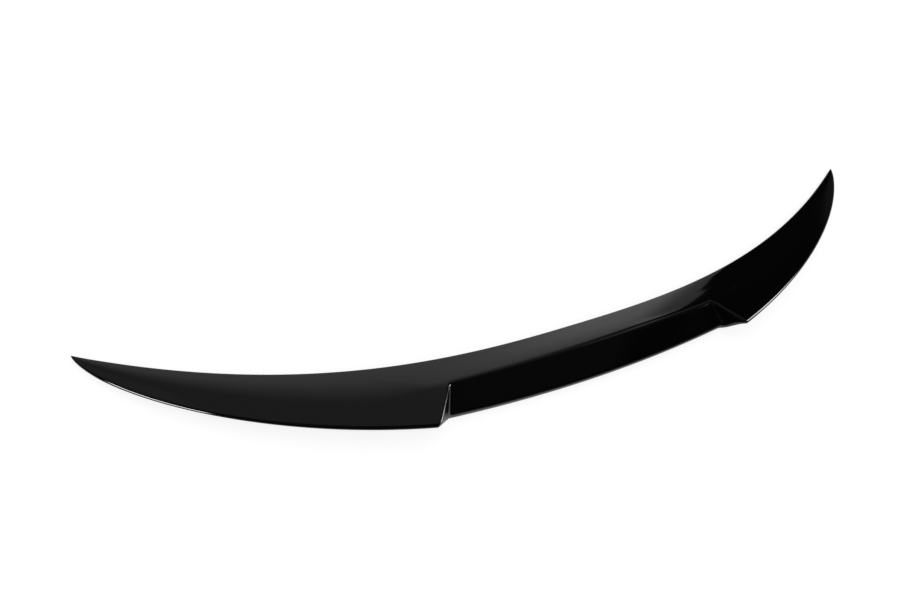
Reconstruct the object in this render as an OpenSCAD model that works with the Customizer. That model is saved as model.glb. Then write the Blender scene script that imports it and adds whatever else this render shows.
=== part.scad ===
// Boot lid rear spoiler: one moulded crescent blade with a stepped middle recess.
// x runs across the car, y points forward and z is up. All sizes are in mm.

/* [Outline] */
// overall width, tip to tip
spoiler_w = 1206; // [1106:2:1306]
// how far the middle of the leading edge sits behind the tips
lead_back = 128.6; // [112:0.2:142]
// how far the trailing edge would sit behind the tips at the middle, if no recess were there
tail_back = 234.5; // [228:0.5:250]
// height of the middle of the leading edge over the tips, to suit a crowned boot lid
lead_crown = 9; // [5:0.5:13]
// rise of the trailing edge from tips to corners, in degrees
tail_angle = 8; // [6:0.5:10]

/* [Middle recess] */
// width of the recess at the trailing edge, between the two wing corners
recess_w = 502; // [440:2:560]
// width of the recess along the crest
crest_w = 424; // [380:2:438]
// how far the middle of the recessed trailing edge sits behind the tips
recess_back = 202; // [194:1:208]
// height of the recessed trailing edge over the tips
recess_h = 10; // [8:0.5:14]
// how far the middle of the crest sits behind the tips
crest_back = 164; // [158:0.5:170]
// height of the middle of the crest over the tips
crest_h = 20; // [18:0.5:22]
// run of each slanted end wall, measured across the car at the trailing edge
wall_run = 29; // [22:1:36]

/* [Edges] */
// height of the thin front lip
lip_h = 2.6; // [2.2:0.2:4]
// rounding of the front lip
nose_round = 1.4; // [0.8:0.2:2]
// rounding of the trailing edge
tail_round = 2.6; // [1.6:0.2:3.2]
// fuller rounding of the trailing edge at the wing corners
corner_round = 3.5; // [2.5:0.5:5]
// depth of the upright band under the recessed trailing edge
tail_band = 5; // [4:0.5:7]
// rounding of the crest over the recess
crest_round = 2.6; // [1.6:0.2:4]
// rounding of the soft bend along each wing
bend_round = 18; // [12:0.5:20]
// swell of the upper band between leading edge and crest
band_swell = 0.6; // [0:0.1:1.2]

/* [Underside] */
// rearward fall of the boot lid under the part, in degrees
lid_angle = 7; // [4:0.5:8]
// thickness of the top skin and rear wall
skin_t = 3; // [2.4:0.2:3.6]
// width of the flat front land for adhesive tape
front_land = 14; // [10:1:16]
// width of the flat rear land for adhesive tape
rear_land = 11; // [9:1:13]
// thickness of the rear land, also how far the ribs stay clear of the boot lid
land_t = 2.6; // [2:0.2:3.2]
// thickness of the ribs
rib_t = 2.4; // [1.8:0.2:3]
// cross ribs between the middle rib and each end wall of the recess
inner_bays = 4; // [3:1:5]
// rib bays along each wing
wing_bays = 5; // [4:1:6]

/* [Hidden] */
gloss_black = [0.03, 0.03, 0.032];
half_w = spoiler_w / 2;
crest_x = crest_w / 2;
corner_x = recess_w / 2;
base_x = corner_x - wall_run;
// the tips end this far before the outline would close
blunt = 0.6;
// shape of the outline: powers of the distance from the middle
lead_power = 2.58;
crown_power = 2.5;
tail_power = 1.9;
tail_fill = 0.7;
// how far the recess edge and the crest would come forward, and the crest up, if they ran on to the tips
recess_flare = 77;
crest_flare = 59;
crest_rise = 23;
// the swell of the upper band is stated for a band of this length
band_run = 36;
// the wing sections start just past the end of the crest
wing_from = crest_x + 2;
// the crest turns into the soft bend of the wing over these lengths
join_run = 60;
soft_run = 90;
bend_at = 0.4;
bend_lift = 0.062;
// how far the end walls swing in and out of a straight slope
wall_ease = 0.11;
// the rounded trailing edge ends in a crisp corner, this far below level in degrees
edge_tilt = 62;
wing_band = 0.5;
// how far the rear wall leans in under the trailing edge, as a share of its height
middle_tuck = 0.1;
wing_tuck = 0.5;
// the lands and pockets stop here, short of the tips, and the lands narrow to these shares of the depth
land_end = 568;
front_share = 0.32;
rear_share = 0.24;
tip_bay = 44;
corner_bay = 10;
// the rear ends of the pockets lean in by this much at the top
pocket_lean = 1.5;
// number of steps between sections along the middle, an end wall and a wing, closer set towards the tip
middle_steps = 14;
wall_steps = 7;
wing_steps = 34;
wing_spread = 1.6;
// an odd number keeps the clearance's corners off the middle line
relief_steps = 61;
// cutters reach this far past the faces they open, and the pockets keep this far behind the front land
overlap = 0.4;
pocket_gap = 2.5;
below_lid = 3;

function part_of(x) = min(abs(x) / (half_w + blunt), 1);
function lead_y(x) = -lead_back * (1 - pow(part_of(x), lead_power));
function lead_z(x) = lead_crown * (1 - pow(part_of(x), crown_power));
function wing_y(x) = -tail_back * pow(1 - pow(part_of(x), tail_power), tail_fill);
function wing_z(x) = -wing_y(x) * tan(tail_angle);
function middle_y(x) = -recess_back + recess_flare * pow(part_of(x), 2);
function lid_z(x, y) = lead_z(x) - lip_h - (lead_y(x) - y) * tan(lid_angle);
function ease(t) = let(u = min(max(t, 0), 1)) u * u * (3 - 2 * u);
function mix(a, b, t) = a + (b - a) * t;
function unit(v) = v / norm(v);
function curve(a, b, c, n) = [for (i = [0:n]) let(t = i / n)
    a * (1 - t) * (1 - t) + b * 2 * t * (1 - t) + c * t * t];

// the crest over the recess, and the soft bend that carries it on along a wing
function crest_at(x) = let(s = pow(part_of(x), 2))
    [x, crest_flare * s - crest_back, crest_h + crest_rise * s];
function bend_point(x) = let(
        l = [x, lead_y(x), lead_z(x)],
        t = [x, wing_y(x), wing_z(x)])
    mix(l, t, bend_at) + [0, 0, bend_lift * norm(t - l)];
function ridge(x, wing) = let(join = ease((abs(x) - crest_x) / join_run))
    wing ? mix(crest_at(x), bend_point(x), join) : crest_at(x);
function edge(x, wing) = wing ? [x, wing_y(x), wing_z(x)] : [x, middle_y(x), recess_h];

// rise of the trailing edge in plan, and the level direction square to it that points into the part
function slope(x, wing) = wing ? (wing_y(x) - wing_y(x - 1)) : middle_y(x) - middle_y(x - 1);
function inward(x, wing) = unit([-slope(x, wing), 1, 0]);

// rounding at the trailing edge, and how far the foot of the rear wall tucks in under it
function trim_at(x, wing) =
    wing ? mix(corner_round, tail_round, ease((x - corner_x) / (half_w - corner_x))) : tail_round;
function tuck_at(deep, wing) =
    wing ? wing_tuck * (deep - wing_band) : middle_tuck * (deep - tail_band);

// one cross section from the front lip over the top to the rear foot
function section(xf, xr, wing) = let(
        lead = [xf, lead_y(xf), lead_z(xf)],
        top = ridge(xf, wing),
        tail = edge(xr, wing),
        rise = unit(top - lead),
        fall = unit(tail - top),
        front_run = norm(top - lead),
        rear_run = norm(tail - top),
        deep = tail[2] - lid_z(xr, tail[1]),
        nose = min(nose_round, front_run * 0.2),
        softness = wing ? pow(ease((xf - crest_x) / soft_run), 2) : 0,
        reach = mix(crest_round, bend_round, softness),
        front_arm = min(reach, front_run * 0.6),
        bend_end = top + fall * min(reach, rear_run * 0.5),
        swell = 4 * band_swell * front_run / band_run,
        start = nose / front_run,
        stop = 1 - front_arm / front_run,
        flat = norm([fall[0], fall[1]]) / norm([rise[0], rise[1]]),
        kink = fall[2] - flat * (rise[2] + swell * (1 - 2 * stop) / front_run),
        over = swell * pow(1 - stop, 2) / kink,
        band_up = [for (i = [1:4]) let(t = mix(start, stop, i / 4))
            mix(lead, top, t) + [0, 0, swell * t * (1 - t)]],
        trim = min(trim_at(xr, wing), rear_run * 0.2, deep * 0.3),
        corner = tail - trim * (cos(edge_tilt) * inward(xr, wing) + [0, 0, sin(edge_tilt)]),
        band = min(wing ? wing_band : tail_band, (deep - trim) * 0.6),
        tuck = (wing ? wing_tuck : middle_tuck) * (deep - band),
        foot = corner + inward(xr, wing) * min(tuck, norm(tail - lead) * 0.3))
    concat(
        [[xf, lead[1], lead[2] - lip_h]],
        curve(lead - [0, 0, nose], lead, lead + rise * nose, 3),
        [for (i = [0:2]) band_up[i]],
        curve(band_up[3], top + fall * over, bend_end, 6),
        [for (i = [1:3]) mix(bend_end, tail - fall * trim, i / 4)],
        curve(tail - fall * trim, tail, corner, 4),
        [corner - [0, 0, band]],
        [[foot[0], foot[1], lid_z(foot[0], foot[1])]]
    );

// columns run out from the middle, fan over the slanted end wall and follow the wing to its tip
middle_cols = [for (i = [0:middle_steps - 1]) let(u = i / middle_steps) section(crest_x * u, base_x * u, false)];
wall_in = section(crest_x, base_x, false);
wall_out = section(wing_from, corner_x, true);
function wall_mix(w) = [for (k = [0:len(wall_in) - 1]) let(a = wall_in[k], b = wall_out[k])
    [mix(a[0], b[0], w), mix(a[1], b[1], w), mix(a[2], b[2], w - wall_ease * sin(360 * w))]];
wall_cols = [for (i = [0:wall_steps]) wall_mix(i / wall_steps)];
wing_cols = [for (i = [1:wing_steps]) let(u = 1 - pow(1 - i / wing_steps, wing_spread))
    section(mix(wing_from, half_w, u), mix(corner_x, half_w, u), true)];
right_cols = concat(middle_cols, wall_cols, wing_cols);
flipped = [for (i = [len(right_cols) - 1:-1:1]) [for (p = right_cols[i]) [-p[0], p[1], p[2]]]];
all_cols = concat(flipped, right_cols);

// the part is set down so that its lowest edge is at z = 0 and its depth is centred on y = 0
lowest = min([for (c = right_cols) c[len(c) - 1][2]]);
rearmost = min([for (c = right_cols) min([for (p = c) p[1]])]);
front_tip = max([for (p = right_cols[len(right_cols) - 1]) p[1]]);
set_down = [0, -(rearmost + front_tip) / 2, -lowest];

function skin_faces(cols, rows) = concat(
    [for (j = [0:cols - 2], i = [0:rows - 1], half = [0, 1]) let(
            a = j * rows + i,
            b = a + rows,
            d = j * rows + (i + 1) % rows,
            c = d + rows,
            left = j < (cols - 1) / 2)
        left ? (half == 0 ? [a, b, d] : [b, c, d]) : (half == 0 ? [a, b, c] : [a, c, d])],
    [[for (i = [0:rows - 1]) i]],
    [[for (i = [rows - 1:-1:0]) (cols - 1) * rows + i]]
);

module loft(cols) {
    polyhedron(points = [for (c = cols, p = c) p], faces = skin_faces(len(cols), len(cols[0])), convexity = 8);
}

// positions on the underside, at any distance x from the middle
function over_wall(x) = ease((x - base_x) / (corner_x - base_x));
function tail_point(x) = mix(edge(x, false), edge(x, true), over_wall(x));
function deep_at(x) = let(t = tail_point(x)) t[2] - lid_z(x, t[1]);
function slant(x) = mix(1, norm([1, slope(x, true)]), over_wall(x));
function foot_at(x) = let(d = deep_at(x), w = over_wall(x))
    tail_point(x)[1] + slant(x) * (mix(tuck_at(d, false), tuck_at(d, true), w)
        - cos(edge_tilt) * mix(trim_at(x, false), trim_at(x, true), w));
function front_at(x) = lead_y(x) - min(front_land, front_share * (lead_y(x) - wing_y(x)));
function rear_at(x) = foot_at(x) + min(rear_land * slant(x), rear_share * (lead_y(x) - wing_y(x)));
function ridge_at(x) = ridge(x, x > crest_x);

// how far down the top skin comes at depth y, on straight lines from lip to ridge to tail
function under_skin(x, y) = let(k = ridge_at(x), t = tail_point(x), l = [x, lead_y(x), lead_z(x)])
    (y > k[1]
        ? mix(l[2], k[2], (l[1] - y) / (l[1] - k[1]))
        : mix(k[2], t[2], (k[1] - y) / (k[1] - t[1]))) - skin_t;

// the shallow clearance that leaves only the two lands touching the boot lid
relief_x = [for (i = [0:relief_steps]) land_end * (2 * i / relief_steps - 1)];
relief_cols = [for (x = relief_x) let(r = abs(x), f = front_at(r), b = rear_at(r)) [
    [x, f, lid_z(r, f) - below_lid],
    [x, f, lid_z(r, f) + land_t],
    [x, b, lid_z(r, b) + land_t],
    [x, b, lid_z(r, b) - below_lid]]];

// four corners of a pocket at x: front ones behind the front land or ridge rib, rear ones likewise
function pocket_cut(x, yf, yb, low_b, floor_b) = [
    [x, yf, lid_z(x, yf) + land_t - overlap],
    [x, yf, under_skin(x, yf)],
    [x, yb, under_skin(x, yb)],
    [x, low_b, lid_z(x, low_b) + floor_b]];
function front_cut(x) = let(b = ridge_at(x)[1] + rib_t / 2)
    pocket_cut(x, front_at(x) - pocket_gap, b, b, land_t - overlap);
function rear_cut(x, whole) = let(f = whole ? front_at(x) - pocket_gap : ridge_at(x)[1] - rib_t / 2)
    pocket_cut(x, f, tail_point(x)[1] + (skin_t + pocket_lean) * slant(x), foot_at(x) + skin_t * slant(x), land_t);

module pocket(near, far) {
    hull() {
        polyhedron(points = concat(near, far),
            faces = [[0, 1, 2, 3], [7, 6, 5, 4], [0, 4, 5, 1], [1, 5, 6, 2], [2, 6, 7, 3], [3, 7, 4, 0]]);
    }
}

module pockets_from(a, b) {
    pocket(front_cut(a), front_cut(b));
    pocket(rear_cut(a, false), rear_cut(b, false));
}

inner_step = base_x / inner_bays;
wing_start = corner_x + corner_bay;
pockets_end = land_end - tip_bay;
wing_step = (pockets_end - wing_start) / wing_bays;

module all_pockets() {
    for (i = [0:inner_bays - 1]) {
        pockets_from(i * inner_step + rib_t / 2, (i + 1) * inner_step - rib_t / 2);
    }
    pockets_from(base_x + rib_t / 2, wing_start - rib_t / 2);
    for (i = [0:wing_bays - 1]) {
        pockets_from(wing_start + i * wing_step + rib_t / 2, wing_start + (i + 1) * wing_step - rib_t / 2);
    }
    pocket(rear_cut(pockets_end + rib_t / 2, true), rear_cut(land_end - rib_t, true));
}

module spoiler() {
    color(gloss_black)
    translate(set_down)
    difference() {
        loft(all_cols);
        loft(relief_cols);
        for (side = [0, 1]) {
            mirror([side, 0, 0]) all_pockets();
        }
    }
}

spoiler();
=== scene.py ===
import bisect
import math
import bpy
from mathutils import Matrix, Vector


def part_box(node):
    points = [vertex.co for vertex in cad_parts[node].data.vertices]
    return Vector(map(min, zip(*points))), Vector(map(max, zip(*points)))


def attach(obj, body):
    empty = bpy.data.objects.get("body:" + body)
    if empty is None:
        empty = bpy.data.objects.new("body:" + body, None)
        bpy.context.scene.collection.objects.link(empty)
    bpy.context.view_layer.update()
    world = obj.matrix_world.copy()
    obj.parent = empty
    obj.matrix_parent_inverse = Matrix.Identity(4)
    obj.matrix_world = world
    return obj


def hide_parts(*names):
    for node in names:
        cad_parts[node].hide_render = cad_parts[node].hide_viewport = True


# Gloss black boot lid spoiler on a white floor. Metres, x across the car, y forward, z up.
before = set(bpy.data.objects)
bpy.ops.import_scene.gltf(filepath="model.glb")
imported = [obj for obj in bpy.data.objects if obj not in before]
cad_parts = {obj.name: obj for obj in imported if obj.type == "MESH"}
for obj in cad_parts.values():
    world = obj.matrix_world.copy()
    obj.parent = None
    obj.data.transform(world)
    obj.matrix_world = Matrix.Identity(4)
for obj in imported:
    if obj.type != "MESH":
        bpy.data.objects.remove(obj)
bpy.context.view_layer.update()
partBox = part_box("spoiler")

blade = {
    "halfWidth": 0.603,
    "blunt": 0.0006,       # the tips end this far before the outline would close
    "leadBack": 0.1286,    # middle of the leading edge behind the tips
    "leadPower": 2.58,
    "leadCrown": 0.009,
    "crownPower": 2.5,
    "tailBack": 0.2345,
    "tailPower": 1.9,
    "tailRound": 0.70,
    "tailAngle": 8.0,      # degrees, rise of the wings towards their corners
    "recessBack": 0.202,
    "recessFlare": 0.077,
    "recessHeight": 0.010,
    "crestBack": 0.1615,
    "crestFlare": 0.036,
    "crestHeight": 0.020,
    "crestRise": 0.023,
    "crestX": 0.212,       # the recess ends here along its crest
    "cornerX": 0.251,      # and here at the trailing edge
    "wallRun": 0.029,
    "wingStart": 0.002,    # the wing sections start this far past the end of the crest
    "lipHeight": 0.0026,
    "noseRadius": 0.0014,
    "tailRadius": 0.0026,
    "cornerRadius": 0.0035,  # the rounding is fuller near the wing corners
    "edgeTilt": 62.0,      # degrees below level where the rounded trailing edge ends in a crisp corner
    "tailBand": 0.005,
    "wingBand": 0.0005,
    "crestRadius": 0.0045,
    "bendRadius": 0.018,
    "bendAt": 0.40,
    "bendLift": 0.062,
    "joinRun": 0.060,
    "softRun": 0.090,      # over this length the crisp crest turns into the soft bend
    "bandSwell": 0.0006,   # height of the upper band's swell where the band is this long
    "bandRun": 0.036,
    "lidAngle": 7.0,
    "middleTuck": 0.10,
    "wingTuck": 0.50,
    "wallEase": 0.11,
    "wallSpan": (0.15, 0.271),  # the end walls are rounded between these distances from the middle
    "wallRoundFront": 0.0022,
    "wallRoundReach": 0.08,     # share of the wall's depth that the front rounding takes
    "wallRoundRear": 0.008,
    "wallSamples": 4,           # on each side of a point
    "middleColumns": 70,
    "wallColumns": 40,
    "wingColumns": 120,
    "smoothAngle": 32.0,
}


def mix(a, b, t):
    return a + (b - a) * t


def ease(t):
    u = min(max(t, 0.0), 1.0)
    return u * u * (3 - 2 * u)


def roundOff(a, b, c, steps):
    # points along a smooth corner that leaves a towards b and arrives at c
    shares = [i / steps for i in range(steps + 1)]
    return [a * (1 - t) ** 2 + b * (2 * t * (1 - t)) + c * t * t for t in shares]


def alongSpan(x):
    return min(abs(x) / (blade["halfWidth"] + blade["blunt"]), 1.0)


def leadPoint(x):
    s = alongSpan(x)
    return Vector((x, -blade["leadBack"] * (1 - s ** blade["leadPower"]),
                   blade["leadCrown"] * (1 - s ** blade["crownPower"])))


def wingEdge(x):
    back = blade["tailBack"] * (1 - alongSpan(x) ** blade["tailPower"]) ** blade["tailRound"]
    return Vector((x, -back, back * math.tan(math.radians(blade["tailAngle"]))))


def recessEdge(x):
    return Vector((x, blade["recessFlare"] * alongSpan(x) ** 2 - blade["recessBack"], blade["recessHeight"]))


def tailPoint(x, onWing):
    return wingEdge(x) if onWing else recessEdge(x)


def lidHeight(x, y):
    lead = leadPoint(x)
    return lead.z - blade["lipHeight"] - (lead.y - y) * math.tan(math.radians(blade["lidAngle"]))


def crestPoint(x):
    s = alongSpan(x)
    return Vector((x, blade["crestFlare"] * s * s - blade["crestBack"],
                   blade["crestHeight"] + blade["crestRise"] * s * s))


def ridgePoint(x, onWing):
    # the sharp crest over the recess, which runs on as the soft bend of a wing
    if not onWing:
        return crestPoint(x)
    lead, tail = leadPoint(x), wingEdge(x)
    bend = mix(lead, tail, blade["bendAt"]) + Vector((0, 0, blade["bendLift"] * (tail - lead).length))
    return mix(crestPoint(x), bend, ease((abs(x) - blade["crestX"]) / blade["joinRun"]))


def edgeSlope(x, onWing):
    step = 0.001
    return (tailPoint(x, onWing).y - tailPoint(x - step, onWing).y) / step


# where a stretch is short, roundings take no more than these shares of it; then the points on each stretch
section = {
    "frontArm": 0.6,
    "rearArm": 0.5,
    "nose": 0.2,
    "trim": 0.2,
    "trimDepth": 0.3,
    "band": 0.6,
    "tuck": 0.3,
    "nosePoints": 8,
    "bandPoints": 12,
    "bendPoints": 20,
    "panelPoints": 10,
    "edgePoints": 12,
}


def bladeSection(xFront, xRear, onWing):
    # one closed cross section: front lip, upper band, bend, rear panel, trailing edge and rear wall
    lead = leadPoint(xFront)
    top = ridgePoint(xFront, onWing)
    tail = tailPoint(xRear, onWing)
    up = Vector((0, 0, 1))
    rise = (top - lead).normalized()
    fall = (tail - top).normalized()
    frontRun, rearRun = (top - lead).length, (tail - top).length
    deep = tail.z - lidHeight(xRear, tail.y)
    softness = ease((xFront - blade["crestX"]) / blade["softRun"]) ** 2 if onWing else 0.0
    reach = mix(blade["crestRadius"], blade["bendRadius"], softness)
    frontArm = min(reach, frontRun * section["frontArm"])
    rearArm = min(reach, rearRun * section["rearArm"])
    swell = blade["bandSwell"] * 4 * frontRun / blade["bandRun"]
    nose = min(blade["noseRadius"], frontRun * section["nose"])
    tipward = ease((xRear - blade["cornerX"]) / (blade["halfWidth"] - blade["cornerX"])) if onWing else 0.0
    trim = mix(blade["cornerRadius"], blade["tailRadius"], tipward) if onWing else blade["tailRadius"]
    trim = min(trim, rearRun * section["trim"], deep * section["trimDepth"])
    inward = Vector((-edgeSlope(xRear, onWing), 1, 0)).normalized()
    tilt = math.radians(blade["edgeTilt"])
    corner = tail - (inward * math.cos(tilt) + up * math.sin(tilt)) * trim
    band = min(blade["wingBand"] if onWing else blade["tailBand"], (deep - trim) * section["band"])
    tuck = (blade["wingTuck"] if onWing else blade["middleTuck"]) * (deep - band)
    bandFoot = corner - up * band
    foot = bandFoot + inward * min(tuck, (tail - lead).length * section["tuck"])
    foot.z = lidHeight(foot.x, foot.y)
    lipFoot = lead - up * blade["lipHeight"]
    points = [lipFoot]
    points += roundOff(lead - up * nose, lead, lead + rise * nose, section["nosePoints"])
    start, stop = nose / frontRun, 1 - frontArm / frontRun
    bandPoints, panelPoints = section["bandPoints"], section["panelPoints"]
    for i in range(1, bandPoints + 1):
        t = mix(start, stop, i / bandPoints)
        points.append(mix(lead, top, t) + up * (swell * t * (1 - t)))
    bendStart = points.pop()
    # the bend leaves the swollen band without a kink, so its control point lies a little above the ridge
    across = math.hypot(fall.x, fall.y) / math.hypot(rise.x, rise.y)
    over = swell * (1 - stop) ** 2 / (fall.z - across * rise.z - swell * (1 - 2 * stop) * across / frontRun)
    points += roundOff(bendStart, top + fall * over, top + fall * rearArm, section["bendPoints"])
    panelStart, panelEnd = top + fall * rearArm, tail - fall * trim
    points += [mix(panelStart, panelEnd, i / panelPoints) for i in range(1, panelPoints)]
    points += roundOff(panelEnd, tail, corner, section["edgePoints"])
    points += [bandFoot, mix(bandFoot, foot, 0.5), foot, mix(foot, lipFoot, 0.5)]
    return points


def softenWalls(columns, place):
    # rounds the top and the foot of the end walls, a little at the crest and more and more towards the rear
    path = [column[place] for column in columns]
    lengths = [0.0]
    for a, b in zip(path, path[1:]):
        lengths.append(lengths[-1] + (b - a).length)
    depth = (-path[0].y - blade["crestBack"]) / (blade["recessBack"] - blade["crestBack"])
    depth = min(max(depth, 0.0), 1.0)
    frontPart = math.exp(-(depth / blade["wallRoundReach"]) ** 2)
    reach = blade["wallRoundFront"] * frontPart + blade["wallRoundRear"] * depth ** 2

    def pointAt(s):
        k = min(max(bisect.bisect_right(lengths, s) - 1, 0), len(path) - 2)
        run = lengths[k + 1] - lengths[k]
        return mix(path[k], path[k + 1], (s - lengths[k]) / run if run > 0 else 0.0)

    wallFrom, wallTo = blade["wallSpan"]
    samples = blade["wallSamples"]
    for i in range(1, len(path) - 1):
        room = min(reach, lengths[i], lengths[-1] - lengths[i])
        if room > 0 and wallFrom < abs(path[i].x) < wallTo:
            total = Vector((0, 0, 0))
            for k in range(-samples, samples + 1):
                total += pointAt(lengths[i] + room * k / samples)
            columns[i][place] = total / (2 * samples + 1)


def bladeColumns():
    # sections run out from the middle, fan over the slanted end wall and follow the wing to its tip
    crestX, cornerX = blade["crestX"], blade["cornerX"]
    baseX, wingFrom = cornerX - blade["wallRun"], crestX + blade["wingStart"]
    columns = []
    for i in range(blade["middleColumns"]):
        u = math.sin(0.5 * math.pi * i / blade["middleColumns"])
        columns.append(bladeSection(crestX * u, baseX * u, False))
    inner, outer = bladeSection(crestX, baseX, False), bladeSection(wingFrom, cornerX, True)
    for i in range(blade["wallColumns"] + 1):
        w = i / blade["wallColumns"]
        lift = w - blade["wallEase"] * math.sin(2 * math.pi * w)
        columns.append([Vector((mix(a.x, b.x, w), mix(a.y, b.y, w), mix(a.z, b.z, lift)))
                        for a, b in zip(inner, outer)])
    for i in range(1, blade["wingColumns"] + 1):
        u = 0.5 - 0.5 * math.cos(math.pi * i / blade["wingColumns"])
        front, rear = mix(wingFrom, blade["halfWidth"], u), mix(cornerX, blade["halfWidth"], u)
        columns.append(bladeSection(front, rear, True))
    mirrored = [[Vector((-p.x, p.y, p.z)) for p in column] for column in reversed(columns[1:])]
    columns = mirrored + columns
    for place in range(len(inner)):
        softenWalls(columns, place)
    return columns


def clearSelection():
    bpy.ops.object.select_all(action="DESELECT")


def skinColumns(columns, name):
    # a flat grid primitive is bent so that each row of it becomes one section, then sewn shut
    across, around = len(columns), len(columns[0]) + 1
    clearSelection()
    bpy.ops.mesh.primitive_grid_add(x_subdivisions=around - 1, y_subdivisions=across - 1, size=1)
    skin = bpy.context.object
    skin.name = skin.data.name = name
    for vertex in skin.data.vertices:
        column = round((vertex.co.y + 0.5) * (across - 1))
        place = round((vertex.co.x + 0.5) * (around - 1))
        vertex.co = columns[column][place % (around - 1)]
    bpy.ops.object.mode_set(mode="EDIT")
    bpy.ops.mesh.select_all(action="SELECT")
    bpy.ops.mesh.remove_doubles(threshold=0.000001)
    bpy.ops.mesh.select_all(action="DESELECT")
    bpy.ops.mesh.select_non_manifold()
    bpy.ops.mesh.edge_face_add()
    bpy.ops.mesh.select_all(action="SELECT")
    bpy.ops.mesh.normals_make_consistent(inside=False)
    bpy.ops.object.mode_set(mode="OBJECT")
    return skin


under = {
    "skin": 0.003,
    "frontLand": 0.014,
    "rearLand": 0.011,
    "landThick": 0.0026,
    "rib": 0.0024,
    "landEnd": 0.568,
    "tipBay": 0.044,
    "innerBays": 4,
    "wingBays": 5,
    "pocketGap": 0.0025,     # the pockets start this far behind the front land
    "pocketLean": 0.0015,    # their rear ends lean forward by this much
    "overlap": 0.0004,       # and their fronts reach this far down into the clearance
    "belowLid": 0.003,       # its cutter starts this far below the boot lid
    "frontShare": 0.32,      # the lands narrow to these shares of the depth towards the tips
    "rearShare": 0.24,
    "cornerBay": 0.010,      # the bay at the corner of the recess ends this far past it
    "stations": 60,          # sections of the clearance on each side
    "cornerRound": 0.0008,   # rounding left in the corners of the pockets
    "roundAngle": 30.0,
}


def overWall(x):
    baseX = blade["cornerX"] - blade["wallRun"]
    return ease((x - baseX) / blade["wallRun"])


def tailAt(x):
    return mix(recessEdge(x), wingEdge(x), overWall(x))


def slantAt(x):
    return mix(1.0, math.hypot(1, edgeSlope(x, True)), overWall(x))


def footAt(x):
    # y of the rear wall's foot: behind the tail by the rounding, then tucked in under it
    tail = tailAt(x)
    deep = tail.z - lidHeight(x, tail.y)
    tipward = ease((x - blade["cornerX"]) / (blade["halfWidth"] - blade["cornerX"]))
    trim = mix(blade["tailRadius"], mix(blade["cornerRadius"], blade["tailRadius"], tipward), overWall(x))
    behind = trim * math.cos(math.radians(blade["edgeTilt"]))
    middleTuck = blade["middleTuck"] * (deep - blade["tailBand"])
    wingTuck = blade["wingTuck"] * (deep - blade["wingBand"])
    tuck = mix(middleTuck, wingTuck, overWall(x))
    return tail.y + (tuck - behind) * slantAt(x)


def chordAt(x):
    return leadPoint(x).y - wingEdge(x).y


def frontAt(x):
    return leadPoint(x).y - min(under["frontLand"], under["frontShare"] * chordAt(x))


def rearAt(x):
    return footAt(x) + min(under["rearLand"] * slantAt(x), under["rearShare"] * chordAt(x))


def ridgeAt(x):
    return ridgePoint(x, x > blade["crestX"])


def underSkin(x, y):
    lead, ridge, tail = leadPoint(x), ridgeAt(x), tailAt(x)
    if y > ridge.y:
        return mix(lead.z, ridge.z, (lead.y - y) / (lead.y - ridge.y)) - under["skin"]
    return mix(ridge.z, tail.z, (ridge.y - y) / (ridge.y - tail.y)) - under["skin"]


def pocketCut(x, yFront, yBack, yFoot):
    return [Vector((x, yFront, lidHeight(x, yFront) + under["landThick"] - under["overlap"])),
            Vector((x, yFront, underSkin(x, yFront))),
            Vector((x, yBack, underSkin(x, yBack))),
            Vector((x, yFoot, lidHeight(x, yFoot) + under["landThick"]))]


def frontCut(x):
    ribSide = ridgeAt(x).y + under["rib"] / 2
    return pocketCut(x, frontAt(x) - under["pocketGap"], ribSide, ribSide)


def rearCut(x, whole=False):
    front = frontAt(x) - under["pocketGap"] if whole else ridgeAt(x).y - under["rib"] / 2
    return pocketCut(x, front, tailAt(x).y + (under["skin"] + under["pocketLean"]) * slantAt(x),
                     footAt(x) + under["skin"] * slantAt(x))


def addPocket(near, far, side):
    # a cube whose eight corners move to the corners of one pocket
    clearSelection()
    bpy.ops.mesh.primitive_cube_add(size=2)
    pocket = bpy.context.object
    pocket.name = "pocket"
    order = [(-1, -1), (-1, 1), (1, 1), (1, -1)]
    for vertex in pocket.data.vertices:
        corner = order.index((round(vertex.co.y), round(vertex.co.z)))
        place = (near if vertex.co.x < 0 else far)[corner]
        vertex.co = Vector((place.x * side, place.y, place.z))
    bpy.ops.object.mode_set(mode="EDIT")
    bpy.ops.mesh.select_all(action="SELECT")
    bpy.ops.mesh.normals_make_consistent(inside=False)
    bpy.ops.object.mode_set(mode="OBJECT")
    return pocket


def pocketPairs():
    half = under["rib"] / 2
    baseX = blade["cornerX"] - blade["wallRun"]
    innerStep = baseX / under["innerBays"]
    wingStart = blade["cornerX"] + under["cornerBay"]
    wingStop = under["landEnd"] - under["tipBay"]
    wingStep = (wingStop - wingStart) / under["wingBays"]
    bays = [(i * innerStep, (i + 1) * innerStep) for i in range(under["innerBays"])]
    bays.append((baseX, wingStart))
    bays += [(wingStart + i * wingStep, wingStart + (i + 1) * wingStep) for i in range(under["wingBays"])]
    pairs = []
    for a, b in bays:
        pairs.append((frontCut(a + half), frontCut(b - half)))
        pairs.append((rearCut(a + half), rearCut(b - half)))
    pairs.append((rearCut(wingStop + half, True), rearCut(under["landEnd"] - under["rib"], True)))
    return pairs


def applyModifier(piece, modifier):
    clearSelection()
    piece.select_set(True)
    bpy.context.view_layer.objects.active = piece
    bpy.ops.object.modifier_apply(modifier=modifier.name)


def cutAway(piece, cutter):
    cut = piece.modifiers.new("cut", "BOOLEAN")
    cut.operation = "DIFFERENCE"
    cut.solver = "MANIFOLD"
    cut.object = cutter
    applyModifier(piece, cut)
    bpy.data.objects.remove(cutter)


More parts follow.
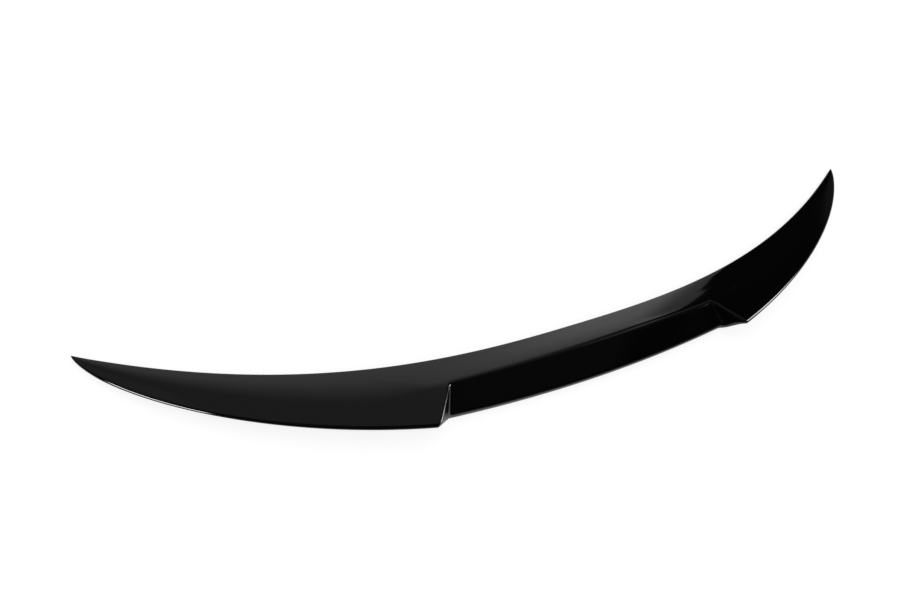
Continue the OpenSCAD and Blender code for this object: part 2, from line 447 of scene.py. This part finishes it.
def hollowUnderside(piece):
    count = under["stations"]
    stations = [under["landEnd"] * i / count for i in range(-count, count + 1)]
    relief = []
    for x in stations:
        front, back = frontAt(abs(x)), rearAt(abs(x))
        relief.append([Vector((x, front, lidHeight(x, front) - under["belowLid"])),
                       Vector((x, front, lidHeight(x, front) + under["landThick"])),
                       Vector((x, back, lidHeight(x, back) + under["landThick"])),
                       Vector((x, back, lidHeight(x, back) - under["belowLid"]))])
    cutAway(piece, skinColumns(relief, "relief"))
    pockets = [addPocket(near, far, side) for near, far in pocketPairs() for side in (1, -1)]
    clearSelection()
    for pocket in pockets:
        pocket.select_set(True)
    bpy.context.view_layer.objects.active = pockets[0]
    bpy.ops.object.join()
    rounded = pockets[0].modifiers.new("rounded", "BEVEL")
    rounded.width = under["cornerRound"]
    rounded.segments = 2
    rounded.limit_method = "ANGLE"
    rounded.angle_limit = math.radians(under["roundAngle"])
    applyModifier(pockets[0], rounded)
    cutAway(piece, pockets[0])


def settle(piece):
    # centred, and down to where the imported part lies
    low = Vector([min(v.co[i] for v in piece.data.vertices) for i in range(3)])
    high = Vector([max(v.co[i] for v in piece.data.vertices) for i in range(3)])
    shift = Vector((0, -(low.y + high.y) / 2, partBox[0].z - low.z))
    print("settled by", shift)
    for vertex in piece.data.vertices:
        vertex.co += shift
    return shift


def smoothFaces(piece):
    clearSelection()
    piece.select_set(True)
    bpy.context.view_layer.objects.active = piece
    bpy.ops.object.shade_smooth_by_angle(angle=math.radians(blade["smoothAngle"]))


def link(tree, source, target):
    tree.links.new(source, target)


lacquer = {
    "colour": (0.0012, 0.0012, 0.0013, 1),
    "ior": 1.5,
    "roughness": 0.045,
    "dullest": 1.35,         # the roughness varies over the part between these multiples of it
    "glossiest": 0.75,
    "hazeSize": 14.0,        # patches of it per metre
    "hazeDetail": 4,
    "hazeRange": (0.3, 0.7),
    "peelSize": 260.0,       # waves per metre
    "peelDetail": 2,
    "peelDepth": 0.00002,
    "peelStrength": 0.35,
}


def lacquerMaterial():
    material = bpy.data.materials.new("glossBlackLacquer")
    material.use_nodes = True
    tree = material.node_tree
    shader = tree.nodes["Principled BSDF"]
    shader.inputs["Base Color"].default_value = lacquer["colour"]
    shader.inputs["IOR"].default_value = lacquer["ior"]
    place = tree.nodes.new("ShaderNodeTexCoord")
    peel = tree.nodes.new("ShaderNodeTexNoise")          # faint orange peel of sprayed lacquer
    peel.inputs["Scale"].default_value = lacquer["peelSize"]
    peel.inputs["Detail"].default_value = lacquer["peelDetail"]
    haze = tree.nodes.new("ShaderNodeTexNoise")          # slow change of gloss over the part
    haze.inputs["Scale"].default_value = lacquer["hazeSize"]
    haze.inputs["Detail"].default_value = lacquer["hazeDetail"]
    gloss = tree.nodes.new("ShaderNodeMapRange")
    gloss.inputs["From Min"].default_value = lacquer["hazeRange"][0]
    gloss.inputs["From Max"].default_value = lacquer["hazeRange"][1]
    gloss.inputs["To Min"].default_value = lacquer["roughness"] * lacquer["glossiest"]
    gloss.inputs["To Max"].default_value = lacquer["roughness"] * lacquer["dullest"]
    bump = tree.nodes.new("ShaderNodeBump")
    bump.inputs["Strength"].default_value = lacquer["peelStrength"]
    bump.inputs["Distance"].default_value = lacquer["peelDepth"]
    link(tree, place.outputs["Object"], peel.inputs["Vector"])
    link(tree, place.outputs["Object"], haze.inputs["Vector"])
    link(tree, haze.outputs["Fac"], gloss.inputs["Value"])
    link(tree, gloss.outputs["Result"], shader.inputs["Roughness"])
    link(tree, peel.outputs["Fac"], bump.inputs["Height"])
    link(tree, bump.outputs["Normal"], shader.inputs["Normal"])
    return material


def makeSpoiler():
    piece = skinColumns(bladeColumns(), "spoilerBlade")
    print("blade skinned:", len(piece.data.polygons), "faces")
    hollowUnderside(piece)
    shift = settle(piece)
    smoothFaces(piece)
    piece.data.materials.clear()
    piece.data.materials.append(lacquerMaterial())
    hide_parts("spoiler")
    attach(piece, "root")
    print("spoiler done:", len(piece.data.polygons), "faces")
    return shift


def seenRays(tree):
    # 1 for what the camera or a reflection sees, 0 for the light that falls on surfaces
    rays = tree.nodes.new("ShaderNodeLightPath")
    first = tree.nodes.new("ShaderNodeMath")
    first.operation = "MAXIMUM"
    link(tree, rays.outputs["Is Camera Ray"], first.inputs[0])
    link(tree, rays.outputs["Is Glossy Ray"], first.inputs[1])
    both = tree.nodes.new("ShaderNodeMath")
    both.operation = "MAXIMUM"
    link(tree, first.outputs[0], both.inputs[0])
    link(tree, rays.outputs["Is Transmission Ray"], both.inputs[1])
    return both.outputs[0]


ground = {
    "size": 30.0,
    "glow": 0.80,            # what the camera and reflections see of it beside the light that falls on it
    "colour": 0.35,
    "paintedShadeReach": 0.022,   # painted shade: in reflections its glow goes dark this close to the part
    "paintedShadePower": 2.5,
    "paintedShadeSamples": 8,
}


def makeFloor():
    clearSelection()
    bpy.ops.mesh.primitive_plane_add(size=ground["size"])
    floor = bpy.context.object
    floor.name = "floor"
    material = bpy.data.materials.new("whiteFloor")
    material.use_nodes = True
    tree = material.node_tree
    tree.nodes.clear()
    paint = tree.nodes.new("ShaderNodeBsdfDiffuse")
    paint.inputs["Color"].default_value = (ground["colour"],) * 3 + (1,)
    glow = tree.nodes.new("ShaderNodeEmission")
    strength = tree.nodes.new("ShaderNodeMath")
    strength.operation = "MULTIPLY"
    strength.inputs[1].default_value = ground["glow"]
    link(tree, seenRays(tree), strength.inputs[0])
    # painted shadow: in reflections the bright floor's glow is darkened by ambient occlusion right under the
    # part
    near = tree.nodes.new("ShaderNodeAmbientOcclusion")
    near.samples = ground["paintedShadeSamples"]
    near.inputs["Distance"].default_value = ground["paintedShadeReach"]
    paintedShade = tree.nodes.new("ShaderNodeMath")
    paintedShade.operation = "POWER"
    paintedShade.inputs[1].default_value = ground["paintedShadePower"]
    link(tree, near.outputs["AO"], paintedShade.inputs[0])
    shown = tree.nodes.new("ShaderNodeMath")
    shown.operation = "MAXIMUM"
    rays = tree.nodes.new("ShaderNodeLightPath")
    link(tree, paintedShade.outputs[0], shown.inputs[0])
    link(tree, rays.outputs["Is Camera Ray"], shown.inputs[1])
    # the glow multiplied by the painted shade, which the camera does not see
    glowWithPaintedShade = tree.nodes.new("ShaderNodeMath")
    glowWithPaintedShade.operation = "MULTIPLY"
    link(tree, strength.outputs[0], glowWithPaintedShade.inputs[0])
    link(tree, shown.outputs[0], glowWithPaintedShade.inputs[1])
    link(tree, glowWithPaintedShade.outputs[0], glow.inputs["Strength"])
    both = tree.nodes.new("ShaderNodeAddShader")
    output = tree.nodes.new("ShaderNodeOutputMaterial")
    link(tree, paint.outputs[0], both.inputs[0])
    link(tree, glow.outputs[0], both.inputs[1])
    link(tree, both.outputs[0], output.inputs["Surface"])
    floor.data.materials.append(material)


class NodeMaths:
    # small helpers that build a pattern out of math nodes
    def __init__(self, tree):
        self.tree = tree

    def split(self, output):
        coords = self.tree.nodes.new("ShaderNodeTexCoord")
        parts = self.tree.nodes.new("ShaderNodeSeparateXYZ")
        link(self.tree, coords.outputs[output], parts.inputs[0])
        return parts.outputs

    def math(self, operation, *values):
        node = self.tree.nodes.new("ShaderNodeMath")
        node.operation = operation
        for socket, value in zip(node.inputs, values):
            if isinstance(value, (int, float)):
                socket.default_value = value
            else:
                link(self.tree, value, socket)
        return node.outputs[0]

    def times(self, *values):
        total = values[0]
        for value in values[1:]:
            total = self.math("MULTIPLY", total, value)
        return total

    def ramp(self, value, start, stop, low=0.0, high=1.0):
        # goes smoothly from low at start to high at stop
        node = self.tree.nodes.new("ShaderNodeMapRange")
        node.interpolation_type = "SMOOTHSTEP"
        node.inputs["From Min"].default_value = min(start, stop)
        node.inputs["From Max"].default_value = max(start, stop)
        node.inputs["To Min"].default_value = low if start < stop else high
        node.inputs["To Max"].default_value = high if start < stop else low
        link(self.tree, value, node.inputs["Value"])
        return node.outputs["Result"]

    def bell(self, value, middle, width):
        # 1 at the middle, fading smoothly on both sides
        offset = self.math("DIVIDE", self.math("SUBTRACT", value, middle), width)
        return self.math("EXPONENT", self.math("MULTIPLY", self.math("MULTIPLY", offset, offset), -1.0))


# light from afar: strengths, and in degrees where each patch fades in or out, by azimuth from straight
# ahead towards the right and by height
sky = {
    "dome": 0.68,                 # the even light that falls on surfaces
    "horizon": 0.8,
    "horizonTop": (7, 4),
    "ceiling": 0.20,
    "ceilingFoot": (44.5, 47),
    "lowShare": 0.05,             # of the ceiling's strength, below its foot
    "rightCeiling": 0.036,
    "rightTurn": (56, 92),
    "rearShare": 0.3,
    "rearTurn": (-100, -85),
    "darkTurn": (100, 112),       # on the right of the rear the ceiling starts higher up
    "darkTop": (51, 48.5),
    "frontGlow": 0.09,            # over the front, on the left
    "frontLeft": (-60, -40),
    "frontRight": (40, 25),
    "frontTop": (70, 62),
    "sideGlow": 0.08,             # low on the right
    "sideLeft": (66, 72),
    "sideTop": (35, 30),
    "tipGlow": 0.07,              # before it, for the tip of the right wing
    "tipLeft": (53, 58),
    "tipRight": (72, 64),
    "tipTop": (33.6, 31),
    "window": 0.80,
    "windowFoot": (45, 46),
    "windowLeft": (56, 59),
    "windowRight": (84, 78),
    "windowSlope": 0.4,           # its top edge rises by this much per degree of azimuth
    "windowTop": (22.6, 22.0),    # at azimuth 0
    "windowDim": 0.20,            # below the bright edge
    "windowDimTop": (21.0, 21.6),
}


def makeStudio():
    world = bpy.data.worlds.new("studio")
    bpy.context.scene.world = world
    world.use_nodes = True
    tree = world.node_tree
    tree.nodes.clear()
    maths = NodeMaths(tree)
    parts = maths.split("Generated")
    degrees = 180 / math.pi
    azimuth = maths.math("MULTIPLY", maths.math("ARCTAN2", parts["X"], parts["Y"]), degrees)
    height = maths.math("MULTIPLY", maths.math("ARCSINE", parts["Z"]), degrees)
    # dim ceiling, dimmer still over the right and the rear, and a dark room below it
    ceiling = maths.times(maths.ramp(azimuth, *sky["rightTurn"], sky["ceiling"], sky["rightCeiling"]),
                          maths.ramp(azimuth, *sky["rearTurn"], sky["rearShare"], 1.0),
                          maths.ramp(height, *sky["ceilingFoot"], sky["lowShare"], 1.0))
    darkSide = maths.times(maths.ramp(azimuth, *sky["darkTurn"]), maths.ramp(height, *sky["darkTop"]))
    ceiling = maths.times(ceiling, maths.math("SUBTRACT", 1.0, darkSide))
    # a little more light from the front left and from low on the right
    frontGlow = maths.times(maths.ramp(azimuth, *sky["frontLeft"]), maths.ramp(azimuth, *sky["frontRight"]),
                            maths.ramp(height, *sky["frontTop"]), sky["frontGlow"])
    sideGlow = maths.times(maths.ramp(azimuth, *sky["sideLeft"]), maths.ramp(height, *sky["sideTop"]),
                           sky["sideGlow"])
    tipGlow = maths.times(maths.ramp(azimuth, *sky["tipLeft"]), maths.ramp(azimuth, *sky["tipRight"]),
                          maths.ramp(height, *sky["tipTop"]), sky["tipGlow"])
    soft = maths.math("ADD", maths.math("ADD", frontGlow, sideGlow), tipGlow)
    # a bright window high on the right, cut off on a slant, lights the crest as one thin line
    slant = maths.math("SUBTRACT", height, maths.math("MULTIPLY", azimuth, sky["windowSlope"]))
    window = maths.times(maths.ramp(azimuth, *sky["windowLeft"]), maths.ramp(azimuth, *sky["windowRight"]),
                         maths.ramp(height, *sky["windowFoot"]), maths.ramp(slant, *sky["windowTop"]),
                         maths.ramp(slant, *sky["windowDimTop"], sky["windowDim"], sky["window"]))
    high = maths.math("MAXIMUM", maths.math("ADD", ceiling, soft), window)
    total = maths.math("MAXIMUM", high, maths.ramp(height, *sky["horizonTop"], 0.0, sky["horizon"]))
    # behind the floor the camera sees plain white
    rays = tree.nodes.new("ShaderNodeLightPath")
    total = maths.math("MAXIMUM", total, rays.outputs["Is Camera Ray"])
    strength = tree.nodes.new("ShaderNodeMix")
    strength.inputs["A"].default_value = sky["dome"]
    link(tree, seenRays(tree), strength.inputs["Factor"])
    link(tree, total, strength.inputs["B"])
    background = tree.nodes.new("ShaderNodeBackground")
    background.inputs["Color"].default_value = (1, 1, 1, 1)
    output = tree.nodes.new("ShaderNodeOutputWorld")
    link(tree, strength.outputs["Result"], background.inputs["Strength"])
    link(tree, background.outputs[0], output.inputs["Surface"])


def uprightCard(name, left, right, low, high):
    # an upright card from left to right, as seen from the spoiler; its own x runs along it and its y up
    start, end = Vector(left), Vector(right)
    wide, tall = (end - start).length, high - low
    clearSelection()
    bpy.ops.mesh.primitive_plane_add(size=1)
    card = bpy.context.object
    card.name = name
    for vertex in card.data.vertices:
        vertex.co = Vector(((vertex.co.x + 0.5) * wide, (vertex.co.y + 0.5) * tall, 0))
    turn = math.atan2(end.y - start.y, end.x - start.x)
    card.matrix_world = (Matrix.Translation((start.x, start.y, low)) @ Matrix.Rotation(turn, 4, "Z")
                         @ Matrix.Rotation(math.radians(90), 4, "X"))
    card.visible_camera = False
    card.visible_diffuse = False
    card.visible_shadow = False
    material = bpy.data.materials.new(name)
    material.use_nodes = True
    material.node_tree.nodes.clear()
    card.data.materials.append(material)
    return material.node_tree, wide, tall


def lightCard(tree, strength):
    glow = tree.nodes.new("ShaderNodeEmission")
    output = tree.nodes.new("ShaderNodeOutputMaterial")
    link(tree, strength, glow.inputs["Strength"])
    link(tree, glow.outputs[0], output.inputs["Surface"])


screen = {
    "azimuth": 42.0,         # degrees from straight ahead towards the right
    "distance": 0.9,
    "leftReach": 1.6,
    "rightReach": 0.224,
    "lowerReach": 0.208,     # its lower part ends a little earlier
    "notchHeight": 0.41,
    "height": 2.3,
    "highGlow": 0.24,        # strength high up and low down, with the heights between which it changes
    "lowGlow": 0.64,
    "glowFade": (1.7, 0.4),
    "spotGlow": 0.72,        # a brighter spot low down, by its middle, half width and upper end
    "spotAcross": 0.03,
    "spotWidth": 0.21,
    "spotTop": (0.8, 0.5),
    "rightShare": 0.42,      # of the strength is left at the right end
    "rightFade": (0.12, 0.19),
    "bandGlow": 0.7,         # a bright band across the right end
    "bandUp": 0.595,
    "bandWidth": 0.035,
    "bandFade": (0.13, 0.17),
}


def makeScreen():
    # the big pale screen before the spoiler, brightest low down near its right end
    turn = math.radians(screen["azimuth"])
    outward, along = Vector((math.sin(turn), math.cos(turn))), Vector((math.cos(turn), -math.sin(turn)))
    middle = outward * screen["distance"]
    start, end = middle - along * screen["leftReach"], middle + along * screen["rightReach"]
    tree = uprightCard("screen", start, end, 0.0, screen["height"])[0]
    maths = NodeMaths(tree)
    parts = maths.split("Object")
    across = maths.math("SUBTRACT", parts["X"], screen["leftReach"])
    up = parts["Y"]
    base = maths.ramp(up, *screen["glowFade"], screen["highGlow"], screen["lowGlow"])
    spot = maths.times(maths.bell(across, screen["spotAcross"], screen["spotWidth"]),
                       maths.ramp(up, *screen["spotTop"]), screen["spotGlow"])
    rightFall = maths.ramp(across, *screen["rightFade"], 1.0, screen["rightShare"])
    band = maths.times(maths.bell(up, screen["bandUp"], screen["bandWidth"]),
                       maths.ramp(across, *screen["bandFade"]), screen["bandGlow"])
    notch = maths.math("MAXIMUM", maths.math("LESS_THAN", across, screen["lowerReach"]),
                       maths.math("GREATER_THAN", up, screen["notchHeight"]))
    glow = maths.math("ADD", maths.times(maths.math("ADD", base, spot), rightFall), band)
    lightCard(tree, maths.times(glow, notch))


# narrow lights, by the two ends of each on the floor plan and by their heights
strips = {
    "rightStrip": {"left": (1.10, -0.13), "right": (1.10, -0.42), "low": 0.28, "high": 1.00,
                   "soft": 0.06, "strength": 14.0},
    "rearStrip": {"left": (-1.02, -0.88), "right": (-1.40, -0.33), "low": 0.30, "high": 0.62,
                  "soft": 0.07, "strength": 30.0},
}


def makeStrips():
    for name, strip in strips.items():
        tree, wide, tall = uprightCard(name, strip["left"], strip["right"], strip["low"], strip["high"])
        maths = NodeMaths(tree)
        parts = maths.split("Object")
        soft = strip["soft"]
        across = maths.times(maths.ramp(parts["X"], 0, soft), maths.ramp(parts["X"], wide, wide - soft))
        upward = maths.times(maths.ramp(parts["Y"], 0, soft), maths.ramp(parts["Y"], tall, tall - soft))
        lightCard(tree, maths.times(across, upward, strip["strength"]))


# the photograph's viewing angle, before the part is set down
view = {
    "camera": (-0.75479, -0.40271, 1.04995),
    "aim": (-0.14800, -0.06315, 0.00551),
    "roll": 40.847,
    "lens": 39.13,           # mm on a frame of this width
    "frameWidth": 36,
}


def makeCamera(shift):
    data = bpy.data.cameras.new("camera")
    data.sensor_width = view["frameWidth"]
    data.lens = view["lens"]
    data.clip_end = 100
    camera = bpy.data.objects.new("camera", data)
    bpy.context.collection.objects.link(camera)
    place, aim = Vector(view["camera"]) + shift, Vector(view["aim"]) + shift
    turn = (aim - place).to_track_quat("-Z", "Y").to_matrix().to_4x4()
    roll = Matrix.Rotation(math.radians(view["roll"]), 4, "Z")
    camera.matrix_world = Matrix.Translation(place) @ turn @ roll
    bpy.context.scene.camera = camera


bpy.context.scene.view_settings.view_transform = "Standard"
makeFloor()
makeStudio()
print("floor and sky made")
makeScreen()
makeStrips()
print("lights made")
makeCamera(makeSpoiler())
